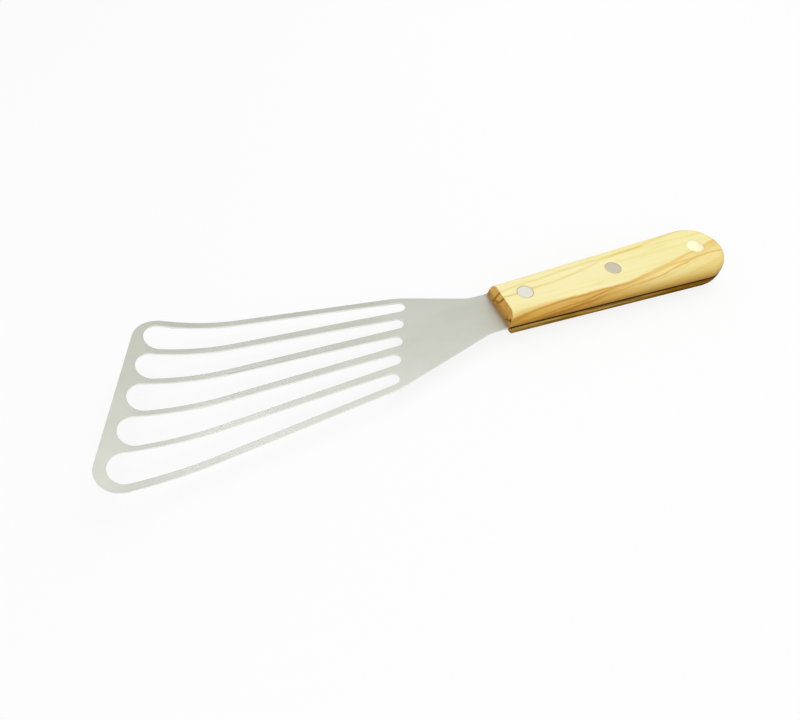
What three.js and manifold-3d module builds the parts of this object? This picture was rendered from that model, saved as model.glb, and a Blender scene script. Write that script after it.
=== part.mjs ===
// Slotted turner: a fanned, curled steel blade with a full tang between two riveted wooden scales.
import * as THREE from 'three';
import { mergeVertices } from 'three/addons/utils/BufferGeometryUtils.js';
import Module from 'manifold-3d';

// Sizes are in millimetres and angles in degrees. X runs forward from the front of the handle,
// Y points to the blade's longer side, Z is up, and Z = 0 is the underside of the steel sheet.
const SHEET_THICKNESS = 1;

// Handle
const HANDLE_LENGTH = 124.7;
const HANDLE_FRONT_WIDTH = 23.1;
const BUTT_RADIUS = 15.9;
const SCALE_THICKNESS = 7.5;
const EDGE_ROUND_WIDTH = 4.9;
const EDGE_ROUND_HEIGHT = 7.1;
const UPPER_FRONT_RAKE = 1.2;
const LOWER_FRONT_RAKE = 3.2;

// Hang hole through both scales and the tang
const HANG_HOLE_DIAMETER = 8.3;
const HANG_HOLE_FROM_BUTT = 15.9;

// Two-piece rivets: a pin from above, pressed into a sleeve from below
const RIVET_FROM_FRONT = 12.4;
const RIVET_SPACING = 47.6;
const RIVET_HEAD_DIAMETER = 7.3;
const RIVET_HEAD_HEIGHT = 2.4;
const SLEEVE_DIAMETER = 5;
const PIN_DIAMETER = 3;
const PIN_ENGAGEMENT = 9;
const HEAD_CLEARANCE = 0.1;
const SLEEVE_CLEARANCE = 0.15;
const PIN_CLEARANCE = 0.1;
const SLEEVE_END_GAP = 0.5;

// Fan of tapered drain slots
const SLOT_COUNT = 5;
const SLOT_ROOT_WIDTH = 5.65;
const SLOT_TIP_WIDTH = 12.45;
const BAR_ROOT_WIDTH = 3.7;
const BAR_TIP_WIDTH = 2.05;
const SLOT_ROOT_REACH = 50.3;
const SLOT_ROOT_SLANT = 24.6;
const FAN_ROOT_OFFSET = 1.55;
const FAN_TIP_OFFSET = -0.85;

// Blade outline round the fan
const NECK_WIDTH = 22.6;
const NECK_LENGTH = 9.8;
const NECK_STEP_LENGTH = 2.4;
const NECK_FILLET_RADIUS = 18;
const SHOULDER_RADIUS = 45;
const SHORT_SIDE_BAND = 2.9;
const LONG_SIDE_BAND = 2.8;
const FRONT_BAND = 4.1;
const FRONT_REACH = 166.4;
const FRONT_SLANT = 17.1;
const SHORT_CORNER_RADIUS = 12;
const LONG_CORNER_RADIUS = 9;

// Upward curl of the blade, about a line parallel to its front edge
const CURL_START = 124.1;
const CURL_RADIUS = 74.4;
const CURL_STEP = 3;

// Facets of round stretches
const ARC_DIVISIONS = 8;
const ROUND_SEGMENTS = 4 * ARC_DIVISIONS;
const EDGE_ROUND_SEGMENTS = 8;

// How far a cutting solid passes the face that it cuts
const CUT_MARGIN = 2;

// Heights and places that follow from the sizes above
const UPPER_SEAM = SHEET_THICKNESS;
const HANDLE_TOP = UPPER_SEAM + SCALE_THICKNESS;
const HANDLE_BOTTOM = -SCALE_THICKNESS;
const UPPER_SEAT = HANDLE_TOP - RIVET_HEAD_HEIGHT;
const LOWER_SEAT = HANDLE_BOTTOM + RIVET_HEAD_HEIGHT;
const BUTT_CENTRE = BUTT_RADIUS - HANDLE_LENGTH;
const HANG_HOLE_X = HANG_HOLE_FROM_BUTT - HANDLE_LENGTH;
const RIVETS = { front: -RIVET_FROM_FRONT, rear: -RIVET_FROM_FRONT - RIVET_SPACING };
const FRONT_HALF = HANDLE_FRONT_WIDTH / 2;
const NECK_HALF = NECK_WIDTH / 2;

const { degToRad } = THREE.MathUtils;
const wasm = await Module();
wasm.setup();

// A closed three.js geometry as a solid that can be joined and cut
function solidOf(geometry) {
  geometry.deleteAttribute('normal');
  geometry.deleteAttribute('uv');
  const merged = mergeVertices(geometry);
  const vertProperties = Float32Array.from(merged.attributes.position.array);
  const triVerts = Uint32Array.from(merged.index.array);
  return new wasm.Manifold(new wasm.Mesh({ numProp: 3, vertProperties, triVerts }));
}

function geometryOf(solid) {
  const { vertProperties, triVerts } = solid.getMesh();
  const geometry = new THREE.BufferGeometry();
  geometry.setAttribute('position', new THREE.BufferAttribute(vertProperties, 3));
  geometry.setIndex(new THREE.BufferAttribute(triVerts, 1));
  return geometry;
}

function uprightCylinder(x, diameter, bottom, top) {
  const radius = diameter / 2;
  const geometry = new THREE.CylinderGeometry(radius, radius, top - bottom, ROUND_SEGMENTS);
  geometry.rotateX(Math.PI / 2);
  geometry.translate(x, 0, (bottom + top) / 2);
  return solidOf(geometry);
}

function uprightBox(minX, maxX, width, bottom, top) {
  const geometry = new THREE.BoxGeometry(maxX - minX, width, top - bottom);
  geometry.translate((minX + maxX) / 2, 0, (bottom + top) / 2);
  return solidOf(geometry);
}

// Angle by which each side of the handle opens towards the butt, tangent to the butt's arc
function handleTaper() {
  const reach = Math.hypot(BUTT_CENTRE, FRONT_HALF);
  return Math.asin(BUTT_RADIUS / reach) - Math.atan2(FRONT_HALF, -BUTT_CENTRE);
}

// Starts an outline at the handle's front, on the short side, and takes it round the butt
function handleOutline(ahead) {
  const taper = handleTaper();
  const frontHalf = FRONT_HALF - ahead * Math.tan(taper);
  const arcEnd = Math.PI / 2 - taper;
  const outline = new THREE.Shape();
  outline.moveTo(ahead, -frontHalf);
  outline.lineTo(BUTT_CENTRE + BUTT_RADIUS * Math.sin(taper), -BUTT_RADIUS * Math.cos(taper));
  outline.absarc(BUTT_CENTRE, 0, BUTT_RADIUS, -arcEnd, arcEnd, true);
  outline.lineTo(ahead, frontHalf);
  return outline;
}

// Draws a line towards a corner and an arc round it, no larger than its two sides allow
function roundCorner(path, before, corner, after, radius) {
  const inward = corner.clone().sub(before);
  const outward = after.clone().sub(corner);
  const room = Math.min(inward.length(), outward.length()) / 2;
  inward.normalize();
  outward.normalize();
  const turn = Math.atan2(inward.cross(outward), inward.dot(outward));
  const halfTangent = Math.tan(Math.abs(turn) / 2);
  const tangent = Math.min(radius * halfTangent, room);
  const arcRadius = tangent / halfTangent;
  const side = Math.sign(turn);
  const start = corner.clone().addScaledVector(inward, -tangent);
  const normal = new THREE.Vector2(-inward.y, inward.x).multiplyScalar(side);
  const centre = start.clone().addScaledVector(normal, arcRadius);
  const startAngle = Math.atan2(-normal.y, -normal.x);
  path.lineTo(start.x, start.y);
  path.absarc(centre.x, centre.y, arcRadius, startAngle, startAngle + turn, side < 0);
}

function crossingOf(pointA, directionA, pointB, directionB) {
  const gap = pointB.clone().sub(pointA);
  const along = gap.cross(directionB) / directionA.cross(directionB);
  return pointA.clone().addScaledVector(directionA, along);
}

// A circle as two half arcs, so that it gets as many facets as a turned piece
function circlePath(x, diameter) {
  const path = new THREE.Path();
  path.absarc(x, 0, diameter / 2, 0, Math.PI);
  path.absarc(x, 0, diameter / 2, Math.PI, 2 * Math.PI);
  return path;
}

// End circles of one drain slot; steps are counted from the middle of the fan
function slotEnds(step) {
  const rootY = FAN_ROOT_OFFSET + step * (SLOT_ROOT_WIDTH + BAR_ROOT_WIDTH);
  const tipY = FAN_TIP_OFFSET + step * (SLOT_TIP_WIDTH + BAR_TIP_WIDTH);
  const rootX = SLOT_ROOT_REACH + rootY * Math.tan(degToRad(SLOT_ROOT_SLANT));
  const slant = degToRad(FRONT_SLANT);
  const setback = (FRONT_BAND + SLOT_TIP_WIDTH / 2) / Math.cos(slant);
  const tipX = FRONT_REACH - setback + tipY * Math.tan(slant);
  return { root: new THREE.Vector2(rootX, rootY), tip: new THREE.Vector2(tipX, tipY) };
}

// Direction from root to tip, and how far each straight side turns away from it
function slotLean(root, tip) {
  const span = tip.clone().sub(root);
  const spread = Math.asin((SLOT_TIP_WIDTH - SLOT_ROOT_WIDTH) / 2 / span.length());
  return { heading: span.angle(), spread };
}

function slotPath(step) {
  const { root, tip } = slotEnds(step);
  const { heading, spread } = slotLean(root, tip);
  const quarter = Math.PI / 2 + spread;
  const path = new THREE.Path();
  path.absarc(tip.x, tip.y, SLOT_TIP_WIDTH / 2, heading - quarter, heading + quarter);
  path.absarc(root.x, root.y, SLOT_ROOT_WIDTH / 2, heading + quarter, heading - quarter + 2 * Math.PI);
  path.closePath();
  return path;
}

// Shoulder and heading of one side of the blade, parallel to its outermost slot
function bladeSide(sideSign, band) {
  const { root, tip } = slotEnds(sideSign * (SLOT_COUNT - 1) / 2);
  const { heading, spread } = slotLean(root, tip);
  const angle = heading + sideSign * spread;
  const direction = new THREE.Vector2(Math.cos(angle), Math.sin(angle));
  const outward = new THREE.Vector2(-direction.y, direction.x).multiplyScalar(sideSign);
  const shoulder = root.clone().addScaledVector(outward, SLOT_ROOT_WIDTH / 2 + band);
  return { shoulder, direction };
}

// Flat blank of blade and tang in one outline, with its slots and holes
function blankShape() {
  const slant = degToRad(FRONT_SLANT);
  const frontPoint = new THREE.Vector2(FRONT_REACH, 0);
  const frontDirection = new THREE.Vector2(Math.sin(slant), Math.cos(slant));
  const long = bladeSide(1, LONG_SIDE_BAND);
  const short = bladeSide(-1, SHORT_SIDE_BAND);
  const longTip = crossingOf(frontPoint, frontDirection, long.shoulder, long.direction);
  const shortTip = crossingOf(frontPoint, frontDirection, short.shoulder, short.direction);

  const corners = [
    { at: new THREE.Vector2(NECK_LENGTH, NECK_HALF), radius: NECK_FILLET_RADIUS },
    { at: long.shoulder, radius: SHOULDER_RADIUS },
    { at: longTip, radius: LONG_CORNER_RADIUS },
    { at: shortTip, radius: SHORT_CORNER_RADIUS },
    { at: short.shoulder, radius: SHOULDER_RADIUS },
    { at: new THREE.Vector2(NECK_LENGTH, -NECK_HALF), radius: NECK_FILLET_RADIUS },
  ];
  const neckStart = new THREE.Vector2(NECK_STEP_LENGTH, NECK_HALF);
  const neckEnd = new THREE.Vector2(NECK_STEP_LENGTH, -NECK_HALF);
  const shape = handleOutline(0);
  shape.lineTo(neckStart.x, neckStart.y);
  corners.forEach(({ at, radius }, index) => {
    const before = index > 0 ? corners[index - 1].at : neckStart;
    const after = index < corners.length - 1 ? corners[index + 1].at : neckEnd;
    roundCorner(shape, before, at, after, radius);
  });
  shape.lineTo(neckEnd.x, neckEnd.y);
  shape.closePath();

  for (let slot = 0; slot < SLOT_COUNT; slot += 1) {
    shape.holes.push(slotPath(slot - (SLOT_COUNT - 1) / 2));
  }
  for (const x of Object.values(RIVETS)) {
    shape.holes.push(circlePath(x, SLEEVE_DIAMETER + 2 * SLEEVE_CLEARANCE));
  }
  shape.holes.push(circlePath(HANG_HOLE_X, HANG_HOLE_DIAMETER));
  return shape;
}

// Distance of a point past the line where the curl starts
function pastCurlLine(point) {
  const slant = degToRad(FRONT_SLANT);
  return (point.x - CURL_START) * Math.cos(slant) - point.y * Math.sin(slant);
}

// Splits triangles along one line parallel to the curl, alike on both sides of a shared edge
function splitAlong(triangles, station) {
  const pieces = [];
  for (const corners of triangles) {
    const offsets = corners.map((corner) => pastCurlLine(corner) - station);
    if (Math.min(...offsets) >= 0 || Math.max(...offsets) <= 0) {
      pieces.push(corners);
      continue;
    }
    const behind = [];
    const beyond = [];
    corners.forEach((corner, index) => {
      const next = (index + 1) % 3;
      if (offsets[index] <= 0) behind.push(corner);
      if (offsets[index] >= 0) beyond.push(corner);
      if (offsets[index] * offsets[next] < 0) {
        const [low, high] = offsets[index] < 0 ? [index, next] : [next, index];
        const share = offsets[low] / (offsets[low] - offsets[high]);
        const cut = corners[low].clone().lerp(corners[high], share);
        behind.push(cut);
        beyond.push(cut);
      }
    });
    for (const polygon of [behind, beyond]) {
      for (let index = 2; index < polygon.length; index += 1) {
        pieces.push([polygon[0], polygon[index - 1], polygon[index]]);
      }
    }
  }
  return pieces;
}

// Rolls a point of the flat blank up round the curl, with the middle of the sheet kept at length
function curled(point) {
  const distance = pastCurlLine(point);
  if (distance <= 0) return point;
  const slant = degToRad(FRONT_SLANT);
  const angle = distance / CURL_RADIUS;
  const radius = CURL_RADIUS - (point.z - SHEET_THICKNESS / 2);
  const drawnIn = radius * Math.sin(angle) - distance;
  return new THREE.Vector3(
    point.x + drawnIn * Math.cos(slant),
    point.y - drawnIn * Math.sin(slant),
    SHEET_THICKNESS / 2 + CURL_RADIUS - radius * Math.cos(angle),
  );
}

function bladeGeometry() {
  const flat = new THREE.ExtrudeGeometry(blankShape(), {
    depth: SHEET_THICKNESS,
    curveSegments: ARC_DIVISIONS,
    bevelEnabled: false,
  });
  const { position } = flat.attributes;
  let triangles = [];
  const cornerAt = (index) => new THREE.Vector3().fromBufferAttribute(position, index);
  for (let index = 0; index < position.count; index += 3) {
    triangles.push([cornerAt(index), cornerAt(index + 1), cornerAt(index + 2)]);
  }
  const farthest = Math.max(...triangles.flat().map(pastCurlLine));
  const spacing = CURL_RADIUS * degToRad(CURL_STEP);
  for (let station = 0; station < farthest; station += spacing) {
    triangles = splitAlong(triangles, station);
  }
  const points = triangles.flat().map(curled);
  return mergeVertices(new THREE.BufferGeometry().setFromPoints(points));
}

// Handle ground to shape as one block, with its edges rounded and its front faces raked back
function handleBlock() {
  const roundHeight = Math.min(EDGE_ROUND_HEIGHT, SCALE_THICKNESS);
  const ahead = 2 * EDGE_ROUND_WIDTH;
  const geometry = new THREE.ExtrudeGeometry(handleOutline(ahead), {
    depth: HANDLE_TOP - HANDLE_BOTTOM - 2 * roundHeight,
    curveSegments: 2 * ARC_DIVISIONS,
    bevelThickness: roundHeight,
    bevelSize: EDGE_ROUND_WIDTH,
    bevelOffset: -EDGE_ROUND_WIDTH,
    bevelSegments: EDGE_ROUND_SEGMENTS,
  });
  geometry.translate(0, 0, HANDLE_BOTTOM + roundHeight);
  const hangHole = uprightCylinder(
    HANG_HOLE_X, HANG_HOLE_DIAMETER, HANDLE_BOTTOM - CUT_MARGIN, HANDLE_TOP + CUT_MARGIN);
  return solidOf(geometry).subtract(frontCut(ahead + CUT_MARGIN)).subtract(hangHole);
}

// Everything ahead of the raked front faces, drawn from the side and run across the handle
function frontCut(ahead) {
  const overshoot = (SCALE_THICKNESS + CUT_MARGIN) / SCALE_THICKNESS;
  const profile = new THREE.Shape();
  profile.moveTo(0, 0);
  profile.lineTo(-LOWER_FRONT_RAKE * overshoot, HANDLE_BOTTOM - CUT_MARGIN);
  profile.lineTo(ahead, HANDLE_BOTTOM - CUT_MARGIN);
  profile.lineTo(ahead, HANDLE_TOP + CUT_MARGIN);
  profile.lineTo(-UPPER_FRONT_RAKE * overshoot, HANDLE_TOP + CUT_MARGIN);
  profile.lineTo(0, UPPER_SEAM);
  const width = 2 * HANDLE_FRONT_WIDTH;
  const geometry = new THREE.ExtrudeGeometry(profile, { depth: width, bevelEnabled: false });
  geometry.rotateX(Math.PI / 2);
  geometry.translate(0, width / 2, 0);
  return solidOf(geometry);
}

// One half of the handle block between two heights, bored for the rivets from its outer face
function scaleGeometry(bottom, top, seat, outerFace) {
  const slab = uprightBox(-HANDLE_LENGTH - CUT_MARGIN, CUT_MARGIN, 4 * BUTT_RADIUS, bottom, top);
  let scale = handleBlock().intersect(slab);
  const outside = outerFace + Math.sign(outerFace - seat) * CUT_MARGIN;
  for (const x of Object.values(RIVETS)) {
    const headBore = uprightCylinder(
      x, RIVET_HEAD_DIAMETER + 2 * HEAD_CLEARANCE, Math.min(seat, outside), Math.max(seat, outside));
    const sleeveBore = uprightCylinder(
      x, SLEEVE_DIAMETER + 2 * SLEEVE_CLEARANCE, bottom - CUT_MARGIN, top + CUT_MARGIN);
    scale = scale.subtract(headBore).subtract(sleeveBore);
  }
  return geometryOf(scale);
}

function turned(x, profile) {
  const points = profile.map(([radius, height]) => new THREE.Vector2(radius, height));
  const geometry = new THREE.LatheGeometry(points, ROUND_SEGMENTS);
  geometry.rotateX(Math.PI / 2);
  geometry.translate(x, 0, 0);
  return geometry;
}

// Lower rivet half: flush head with a sleeve that passes the tang and is open at its top
function sleeveGeometry(x) {
  const head = RIVET_HEAD_DIAMETER / 2;
  const sleeve = SLEEVE_DIAMETER / 2;
  const bore = PIN_DIAMETER / 2 + PIN_CLEARANCE;
  const sleeveTop = UPPER_SEAT - SLEEVE_END_GAP;
  const boreBottom = UPPER_SEAT - PIN_ENGAGEMENT - SLEEVE_END_GAP;
  return turned(x, [
    [0, HANDLE_BOTTOM],
    [head, HANDLE_BOTTOM],
    [head, LOWER_SEAT],
    [sleeve, LOWER_SEAT],
    [sleeve, sleeveTop],
    [bore, sleeveTop],
    [bore, boreBottom],
    [0, boreBottom],
  ]);
}

// Upper rivet half: flush head with a pin that ends inside the sleeve
function pinGeometry(x) {
  const head = RIVET_HEAD_DIAMETER / 2;
  const pin = PIN_DIAMETER / 2;
  const pinEnd = UPPER_SEAT - PIN_ENGAGEMENT;
  return turned(x, [
    [0, pinEnd],
    [pin, pinEnd],
    [pin, UPPER_SEAT],
    [head, UPPER_SEAT],
    [head, HANDLE_TOP],
    [0, HANDLE_TOP],
  ]);
}

const FINISHES = {
  steel: { color: 0xcbcbc2, roughness: 0.42, metalness: 1 },
  wood: { color: 0xe6d49a, roughness: 0.6, metalness: 0 },
  rivet: { color: 0xd6d2c2, roughness: 0.35, metalness: 1 },
};

function piece(name, geometry, finish) {
  const mesh = new THREE.Mesh(geometry, new THREE.MeshStandardMaterial(FINISHES[finish]));
  mesh.name = name;
  return mesh;
}

const turner = new THREE.Group();
turner.add(
  piece('blade', bladeGeometry(), 'steel'),
  piece('upper_scale', scaleGeometry(UPPER_SEAM, HANDLE_TOP + CUT_MARGIN, UPPER_SEAT, HANDLE_TOP), 'wood'),
  piece('lower_scale', scaleGeometry(HANDLE_BOTTOM - CUT_MARGIN, 0, LOWER_SEAT, HANDLE_BOTTOM), 'wood'),
);
for (const [place, x] of Object.entries(RIVETS)) {
  turner.add(
    piece(`${place}_rivet_sleeve`, sleeveGeometry(x), 'rivet'),
    piece(`${place}_rivet_pin`, pinGeometry(x), 'rivet'),
  );
}

// The frame's origin lies on the handle's underside, midway between the rivets
turner.position.set(-(RIVETS.front + RIVETS.rear) / 2, 0, -HANDLE_BOTTOM);

export default turner;
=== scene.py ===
"""Looks of a slotted turner: a satin steel blade between two olive wood scales, held by flush rivets."""
import collections
import math

import bmesh
import bpy
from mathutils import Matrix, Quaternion, Vector


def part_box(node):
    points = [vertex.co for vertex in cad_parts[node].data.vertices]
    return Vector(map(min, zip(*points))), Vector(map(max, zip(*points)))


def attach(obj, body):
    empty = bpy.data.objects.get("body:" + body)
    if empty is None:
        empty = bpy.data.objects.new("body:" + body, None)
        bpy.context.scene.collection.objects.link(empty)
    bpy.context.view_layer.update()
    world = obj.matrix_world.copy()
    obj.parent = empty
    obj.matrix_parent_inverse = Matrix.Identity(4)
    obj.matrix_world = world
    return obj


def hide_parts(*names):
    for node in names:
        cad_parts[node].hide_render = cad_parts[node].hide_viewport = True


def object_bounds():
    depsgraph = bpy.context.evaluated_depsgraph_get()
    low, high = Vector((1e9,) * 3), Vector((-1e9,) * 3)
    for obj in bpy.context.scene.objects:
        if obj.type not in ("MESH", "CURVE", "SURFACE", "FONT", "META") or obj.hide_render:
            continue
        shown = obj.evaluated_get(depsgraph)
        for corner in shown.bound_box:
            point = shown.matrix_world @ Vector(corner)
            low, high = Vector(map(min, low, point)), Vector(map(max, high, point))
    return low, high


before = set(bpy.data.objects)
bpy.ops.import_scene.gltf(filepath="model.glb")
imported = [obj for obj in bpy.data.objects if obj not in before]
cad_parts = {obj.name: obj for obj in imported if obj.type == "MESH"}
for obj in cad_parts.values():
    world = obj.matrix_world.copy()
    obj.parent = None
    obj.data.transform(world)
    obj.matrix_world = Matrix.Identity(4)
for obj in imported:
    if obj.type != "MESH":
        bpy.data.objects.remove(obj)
CAD_LOW, CAD_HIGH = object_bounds()

# Lengths below are in millimetres where a name ends in _MM, and otherwise in metres.
MM = 0.001

# Places that the frame gives, and the floor just under it
UPPER_LOW, UPPER_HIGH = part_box("upper_scale")
_, LOWER_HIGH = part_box("lower_scale")
HANDLE_FRONT = UPPER_HIGH.x
HANDLE_BUTT = UPPER_LOW.x
FLOOR_GAP = 0.05 * MM
FLOOR_HEIGHT = CAD_LOW.z - FLOOR_GAP

# Small roundings that the solids leave sharp
MERGE_DISTANCE = 0.03 * MM
FLAT_ANGLE = math.radians(0.3)
SHEET_EDGE_ROUND = 0.14 * MM
SHEET_EDGE_ANGLE = math.radians(50)
SHEET_EDGE_STEPS = 2
SCALE_FRONT_ROUND = 0.4 * MM
HANG_HOLE_ROUND = 0.5 * MM
ROUND_STEPS = 3
SMOOTH_ANGLE = math.radians(32)

# Limits that tell a scale's front face, hole wall and seam from the rest of it
FACING_FORWARD = 0.85
FRONT_FACE_DEPTH = 5 * MM
UPRIGHT_TILT = 0.1
SEAM_CLEARANCE = 0.05 * MM

# The hang hole: its centre, and a reach that takes in its wall and rims
HANG_HOLE_FROM_BUTT = 15.9 * MM
HANG_HOLE_PLACE = HANDLE_BUTT + HANG_HOLE_FROM_BUTT
HANG_HOLE_REACH = 5.0 * MM

# The blade's front edge, which slants forward to the longer side
FRONT_SLANT = math.radians(17.1)

# Turned rivets: head, shank and bore
PIN_RADIUS = 1.5 * MM
SLEEVE_RADIUS = 2.5 * MM
BORE_RADIUS = 1.6 * MM
BORE_END_GAP = 0.5 * MM
RIVET_HEAD_HEIGHT = 2.4 * MM
RIVET_RIM_ROUND = 0.10 * MM
RIVET_SIDES = 64
SAME_HEIGHT = 0.01 * MM

# Camera of the photograph
CAMERA_PLACE = Vector((0.14767, 0.14846, 0.19508))
CAMERA_AIM = Vector((0.08944, 0.01197, 0.00850))
CAMERA_ROLL = math.radians(2.42)
CAMERA_LENS_MM = 25.25
CAMERA_SENSOR_MM = 36.0
CAMERA_NEAR = 0.01


def colour(red, green, blue):
    """A display colour of 0 to 255 steps, as the linear colour that a socket takes."""
    def linear(step):
        share = step / 255
        return share / 12.92 if share <= 0.04045 else ((share + 0.055) / 1.055) ** 2.4
    return (linear(red), linear(green), linear(blue), 1.0)


# Steel: its tints, and the stretches over which they change
STEEL_DULL = colour(174, 175, 163)
STEEL_BRIGHT = colour(181, 182, 169)
STEEL_SCRATCH = colour(212, 212, 206)
# Painted highlight: steel lighter toward the longer side and on the neck's far side
STEEL_PAINTED_HIGHLIGHT = colour(192, 193, 182)
# Painted shade: steel darker across the start of the curl
STEEL_PAINTED_CURL_SHADE = colour(160, 161, 150)
# Painted shade and painted reflection of the wood on the steel ahead of the handle
STEEL_PAINTED_HANDLE_SHADE = colour(148, 110, 58)
# Dark brown on the tang's edges inside the handle, and how far past its front it reaches on the edges
TANG_EDGE_DARK = colour(66, 36, 8)
# Painted highlight: the sheet's cut edges lighter, more so past the neck
CUT_EDGE_HIGHLIGHT_NECK = colour(220, 220, 214)
CUT_EDGE_HIGHLIGHT_BLADE = colour(242, 242, 238)
LONGER_SIDE_HIGHLIGHT = (6 * MM, 30 * MM)
NECK_SIDE_HIGHLIGHT = (-4 * MM, -11 * MM)
NECK_HIGHLIGHT_END = (92 * MM, 78 * MM)
CURL_SHADE_START = (164 * MM, 184 * MM)
CURL_SHADE_END = (197 * MM, 187 * MM)
CUT_EDGE_HIGHLIGHT_GROWS = (60 * MM, 110 * MM)
HANDLE_SHADE_REACH = 2.8 * MM
DARK_EDGE_REACH = 1.0 * MM
# Painted shade: the rivets are one metal, with the rear rivet's tint darker where its head reflects less light
RIVET_TINTS_LIT_AND_SHADED = {"front": colour(214, 212, 199), "rear": colour(202, 197, 177)}

# Wood: tints that both scales or two streaks share
# The hang hole's wall: its own pale bare wood, painted whiter as painted light so the hole reads as light as the
# backdrop
BORE_TINT_PAINTED_LIGHT = colour(252, 248, 228)
STREAK_TINT = colour(222, 195, 84)
RING_TINT = colour(168, 126, 74)
FIBRE_TINT = colour(196, 150, 78)

# Paths of the veins: places along the handle, and how far y less z lies there, both in millimetres.
VEIN_LOW_MM, VEIN_HIGH_MM = -32.0, 10.0
HEART_EDGE_MM = [
    (36.2, -1.3), (34, -2.1), (31, -2.8), (26, -3.5), (22, -4.0), (14, -4.7), (6, -5.0), (-1, -4.8), (-11, -5.0),
    (-19, -4.7), (-25, -5.0), (-32, -6.0), (-38, -7.0), (-45, -8.2), (-52, -9.6), (-58, -11.0), (-63, -12.2),
    (-69, -13.1), (-77, -14.9), (-81, -16.0), (-88.5, -18.3)]
INNER_LINE_MM = [
    (36.2, 3.0), (30, 2.0), (24, 1.4), (19, 0.8), (12, -0.1), (5, -0.8), (-2, -1.3), (-7, -2.4), (-11, -3.1),
    (-20, -4.6), (-30, -6.4), (-60, -11.0), (-88.5, -18.0)]
SECOND_VEIN_MM = [
    (36.2, 6.5), (20, 3.4), (12, 2.3), (6, 1.9), (0, 1.0), (-6, 0.5), (-11, -0.5), (-18, -1.2), (-24, -1.7),
    (-31, -2.5), (-37, -3.0), (-42, -3.6), (-49, -5.2), (-54, -6.4), (-60, -7.3), (-65, -8.6), (-70, -9.2),
    (-74, -9.5), (-80, -9.4), (-83, -8.8), (-88.5, -6.5)]
BRANCH_VEIN_MM = [
    (36.2, -1.3), (6, -5.0), (-19, -4.7), (-32, -6.0), (-38, -6.9), (-45, -7.5), (-50, -8.1), (-55, -8.6),
    (-60, -8.7), (-65, -8.7), (-70, -9.2), (-80, -9.4), (-88.5, -6.5)]
LEAF_STREAK_MM = [
    (36.2, -16.2), (28, -16.5), (20, -17.0), (12, -17.4), (5, -17.9), (0, -18.5), (-5, -19.2), (-10, -20.1),
    (-15, -21.0), (-18, -21.8), (-22, -23.0), (-30, -23.6), (-38, -24.3), (-88.5, -30.0)]
FAR_STREAK_MM = [
    (36.2, -19.4), (30, -20.3), (22, -21.0), (15, -21.3), (8, -21.8), (0, -22.6), (-5, -23.0), (-10, -23.3),
    (-18, -23.3), (-23, -23.2), (-30, -23.7), (-38, -24.3), (-45, -25.2), (-50, -25.9), (-55, -26.5), (-62, -27.4),
    (-67, -28.0), (-88.5, -30.0)]

# Dark checks across the front face: where each starts and ends, as y and z in millimetres.
FRONT_CHECKS_MM = [
    ((-3.3, 16.4), (-4.8, 11.6)), ((-4.8, 11.6), (-5.7, 8.4)),
    ((0.9, 16.4), (-1.6, 11.4)), ((-1.6, 11.4), (-5.0, 10.1))]
KNOT_MM = ((9.8, 11.4), (10.0, 10.9))
KNOT_ARC_MM = [((9.6, 10.6), (7.4, 9.6)), ((7.4, 9.6), (6.6, 8.4))]

# The lower scale's tints beside the seam and further down, from the butt forward, at places in millimetres. They are
# darker than the upper scale's, and darkest further down, partly by the wood's own tone and partly as painted shade
# under the handle.
PALE_STRIPE = (228, 196, 106)
GOLDEN_STRIPE = (200, 170, 92)
BROWN_STRIPE = (164, 128, 50)
DARK_STRIPE = (148, 106, 26)
BESIDE_SEAM_TINTS = [
    (-88, BROWN_STRIPE), (-50, DARK_STRIPE), (-30, GOLDEN_STRIPE), (-15, PALE_STRIPE), (3, BROWN_STRIPE),
    (22, GOLDEN_STRIPE)]
UNDERNEATH_SHADED_TINTS = [(-88, (104, 66, 4)), (-50, (120, 78, 4)), (-13, (158, 120, 34)), (22, (166, 128, 39))]

# Floor, fill and what the lamps aim at
FLOOR_SIZE = 12.0
FLOOR_TINT = (0.92, 0.92, 0.92, 1.0)
FLOOR_WHITE_SHARE = 0.84
WORLD_FILL = 0.5
HANDLE_FRONT_SPOT = (0.06, 0.0, 0.0)
BLADE_SPOT = (0.10, 0.0, 0.0)


# Selecting and shaping meshes

def activate(piece):
    bpy.ops.object.select_all(action="DESELECT")
    bpy.context.view_layer.objects.active = piece
    piece.select_set(True)


def edit(piece):
    activate(piece)
    bpy.ops.object.mode_set(mode="EDIT")
    bpy.ops.mesh.select_mode(type="EDGE")
    bpy.ops.mesh.select_all(action="DESELECT")


def leave_edit():
    bpy.ops.object.mode_set(mode="OBJECT")


def pick_edges(piece, wanted):
    """Selects the edges between two faces that wanted() says yes to, in edit mode."""
    bpy.ops.mesh.select_all(action="DESELECT")
    mesh = bmesh.from_edit_mesh(piece.data)
    mesh.normal_update()
    for edge in mesh.edges:
        if len(edge.link_faces) == 2 and wanted(edge):
            edge.select_set(True)
    bmesh.update_edit_mesh(piece.data)


def one_side(edge, test):
    """True where just one of an edge's two faces passes a test, so that the edge bounds such faces."""
    return sum(1 for face in edge.link_faces if test(face)) == 1


def copy_of(node, name):
    """A merged copy of a node's mesh, with whole flat faces, for a piece that keeps the node's shape."""
    piece = bpy.data.objects.new(name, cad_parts[node].data.copy())
    bpy.context.scene.collection.objects.link(piece)
    piece.data.materials.clear()
    edit(piece)
    bpy.ops.mesh.customdata_custom_splitnormals_clear()
    bpy.ops.mesh.select_all(action="SELECT")
    bpy.ops.mesh.remove_doubles(threshold=MERGE_DISTANCE)
    bpy.ops.mesh.dissolve_limited(angle_limit=FLAT_ANGLE)
    leave_edit()
    return piece


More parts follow.
